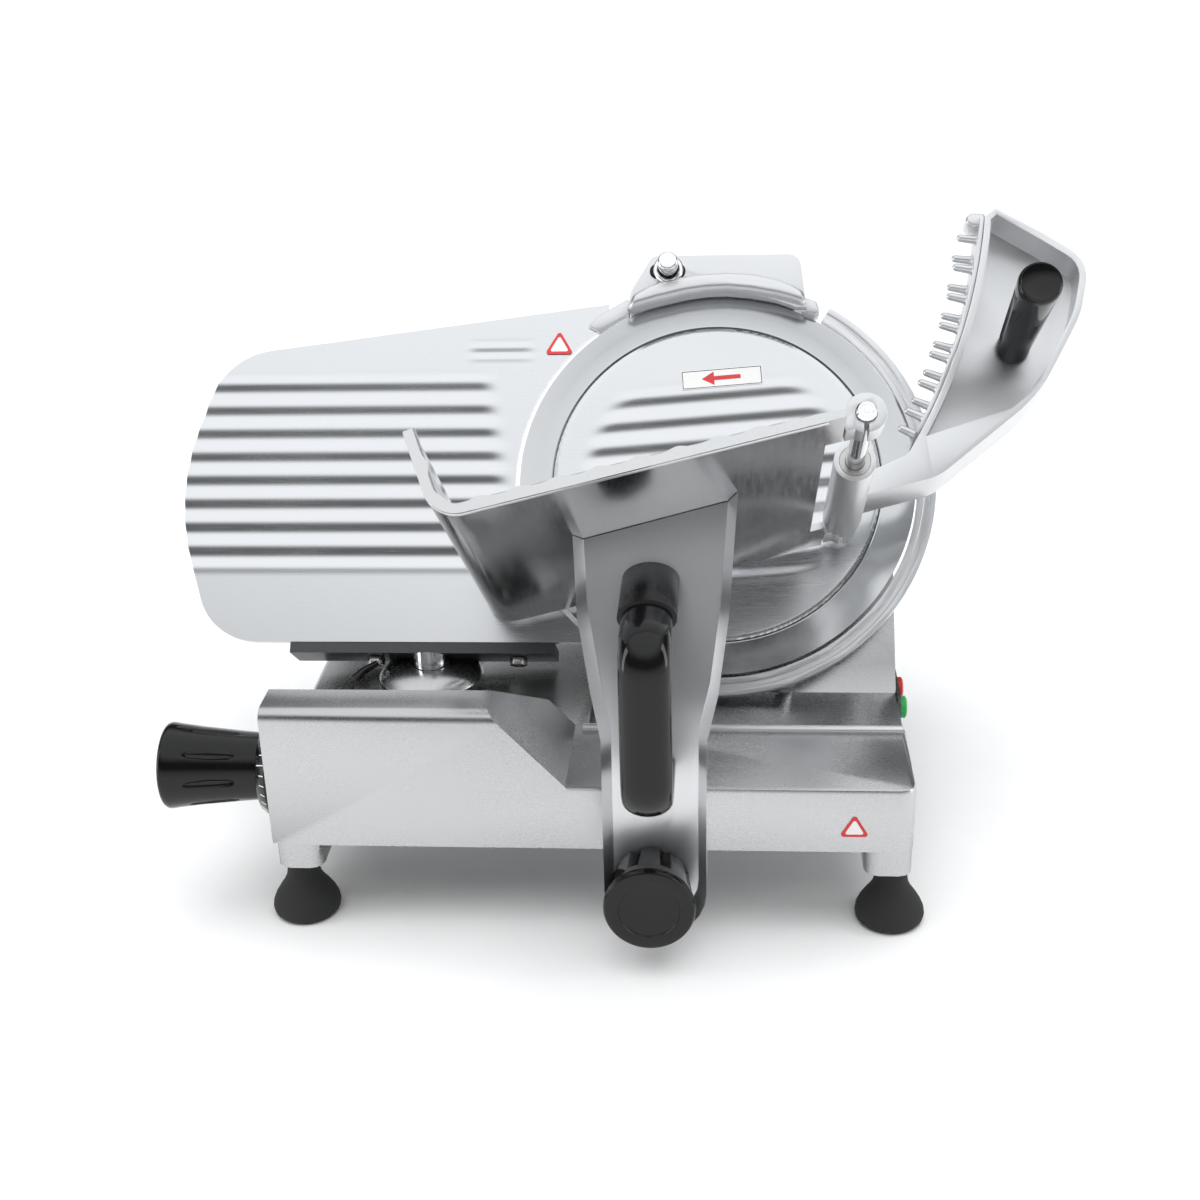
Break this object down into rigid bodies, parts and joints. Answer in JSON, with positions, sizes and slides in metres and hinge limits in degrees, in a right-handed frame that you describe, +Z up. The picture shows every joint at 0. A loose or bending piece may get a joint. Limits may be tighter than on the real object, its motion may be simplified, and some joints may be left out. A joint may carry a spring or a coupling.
{
  "type": "deli meat slicer",
  "caption": "Gravity-feed food slicer: leaning round blade, ribbed gauge plate set by a knob, sliding tray with a swing-out toothed pusher and a clip-on sharpener.",
  "frame": {"origin": "on the table, under the middle of the whole slicer's box with the pusher swung out", "axes": "+X to the operator's right along the carriage's travel, +Y away from the operator, +Z up"},
  "size_m": [0.5626, 0.4062, 0.368],
  "materials": {
    "cast_aluminium": "satin ground casting",
    "anodised_plate": "satin anodised, brushed along its length",
    "blade_steel": "ground in fine rings",
    "plain_steel": "turned",
    "bright_chrome": "polished",
    "black_handle": "glossy moulding",
    "foot_rubber": "matt",
    "bearing_bronze": "turned",
    "painted_black": "semi-matt",
    "start_green": "satin",
    "stop_red": "satin"
  },
  "bodies": {
    "frame": {"base_casting": "cast_aluminium", "bottom_cover": "anodised_plate", "foot_front_left": "foot_rubber", "foot_front_right": "foot_rubber", "foot_rear_left": "foot_rubber", "foot_rear_right": "foot_rubber", "bearing_front": "bright_chrome", "bearing_rear": "bright_chrome", "blade_cover": "anodised_plate", "cover_tie_rod": "black_handle", "blade_guard_ring": "cast_aluminium", "motor_body": "painted_black", "drive_belt": "foot_rubber", "rear_cover": "anodised_plate", "rear_cover_screw_1": "plain_steel", "rear_cover_screw_2": "plain_steel", "cable_gland": "black_handle", "slice_deflector": "anodised_plate", "switch_plate": "painted_black", "gauge_guide_rod": "plain_steel", "carriage_rod": "plain_steel", "carriage_rail": "plain_steel", "sharpener_post": "cast_aluminium"},
    "blade": {"blade": "blade_steel", "blade_hub": "plain_steel", "blade_shaft": "plain_steel", "blade_pulley": "cast_aluminium"},
    "motor_rotor": {"motor_shaft": "plain_steel", "motor_pulley": "plain_steel"},
    "thickness_control": {"thickness_dial": "black_handle", "thickness_knob": "black_handle", "thickness_shaft": "plain_steel", "thickness_cam": "bearing_bronze"},
    "gauge": {"gauge_slide_block": "cast_aluminium", "cam_follower": "plain_steel", "gauge_column": "bright_chrome", "gauge_bar": "painted_black", "gauge_plate": "anodised_plate"},
    "carriage": {"carriage_block": "cast_aluminium", "carriage_bush": "bearing_bronze", "carriage_arm": "cast_aluminium", "product_tray": "cast_aluminium", "tray_handle": "black_handle", "pusher_rod": "bright_chrome", "rod_lug_far": "cast_aluminium", "rod_lug_near": "cast_aluminium"},
    "carriage_lock": {"carriage_lock_knob": "black_handle"},
    "pusher_slider": {"pusher_bush": "bearing_bronze"},
    "pusher": {"pusher_arm": "cast_aluminium", "spike_plate": "cast_aluminium", "pusher_handle": "black_handle"},
    "sharpener": {"sharpener_housing": "cast_aluminium"},
    "deburr": {"deburr_button": "bright_chrome"},
    "grind": {"grind_button": "bright_chrome"},
    "sharpener_clamp": {"sharpener_clamp_knob": "black_handle"},
    "start": {"start_button": "start_green"},
    "stop": {"stop_button": "stop_red"}
  },
  "joints": [
    {"name": "blade_spin", "type": "hinge", "parent": "frame", "child": "blade", "pos_m": [0.06179, 0.06772, 0.2055], "axis": [0, -0.7891, 0.6143], "continuous": true},
    {"name": "motor_spin", "type": "hinge", "parent": "frame", "child": "motor_rotor", "pos_m": [0.11979, 0.04437, 0.17552], "axis": [0, -0.7891, 0.6143], "continuous": true},
    {"name": "thickness_turn", "type": "hinge", "parent": "frame", "child": "thickness_control", "pos_m": [0.06179, -0.09728, 0.09], "axis": [1, 0, 0], "range_deg": [0, 300]},
    {"name": "gauge_slide", "type": "slide", "parent": "frame", "child": "gauge", "axis": [0, 1, 0], "range_m": [0, 0.01201]},
    {"name": "carriage_slide", "type": "slide", "parent": "frame", "child": "carriage", "axis": [1, 0, 0], "range_m": [-0.16, 0.085]},
    {"name": "carriage_lock_turn", "type": "hinge", "parent": "carriage", "child": "carriage_lock", "pos_m": [0.02679, -0.12, 0.0455], "axis": [0, 1, 0], "range_deg": [0, 360]},
    {"name": "pusher_run", "type": "slide", "parent": "carriage", "child": "pusher_slider", "axis": [0, -0.7891, 0.6143], "range_m": [0, 0.06]},
    {"name": "pusher_swing", "type": "hinge", "parent": "pusher_slider", "child": "pusher", "pos_m": [0.13779, 0.04609, 0.17772], "axis": [0, -0.7891, 0.6143], "range_deg": [0, 125]},
    {"name": "sharpener_lift", "type": "slide", "parent": "frame", "child": "sharpener", "axis": [0, 0.6143, 0.7891], "range_m": [0, 0.06]},
    {"name": "deburr_press", "type": "slide", "parent": "sharpener", "child": "deburr", "axis": [0, 0.7891, -0.6143], "range_m": [0, 0.004], "stiffness_N_per_m": 500, "springref_m": -0.003},
    {"name": "grind_press", "type": "slide", "parent": "sharpener", "child": "grind", "axis": [0, -0.7891, 0.6143], "range_m": [0, 0.004], "stiffness_N_per_m": 500, "springref_m": -0.003},
    {"name": "sharpener_clamp_turn", "type": "hinge", "parent": "frame", "child": "sharpener_clamp", "pos_m": [0.06179, 0.11941, 0.2719], "axis": [0, -0.7891, 0.6143], "range_deg": [0, 180]},
    {"name": "start_press", "type": "slide", "parent": "frame", "child": "start", "axis": [-1, 0, 0], "range_m": [0, 0.003], "stiffness_N_per_m": 600, "springref_m": -0.002},
    {"name": "stop_press", "type": "slide", "parent": "frame", "child": "stop", "axis": [-1, 0, 0], "range_m": [0, 0.003], "stiffness_N_per_m": 600, "springref_m": -0.002}
  ],
  "couplings": [
    {"joint": "motor_spin", "follows": "blade_spin", "ratio": 3.6364},
    {"joint": "gauge_slide", "follows": "thickness_turn", "m_per_rad": 0.0022918}
  ]
}
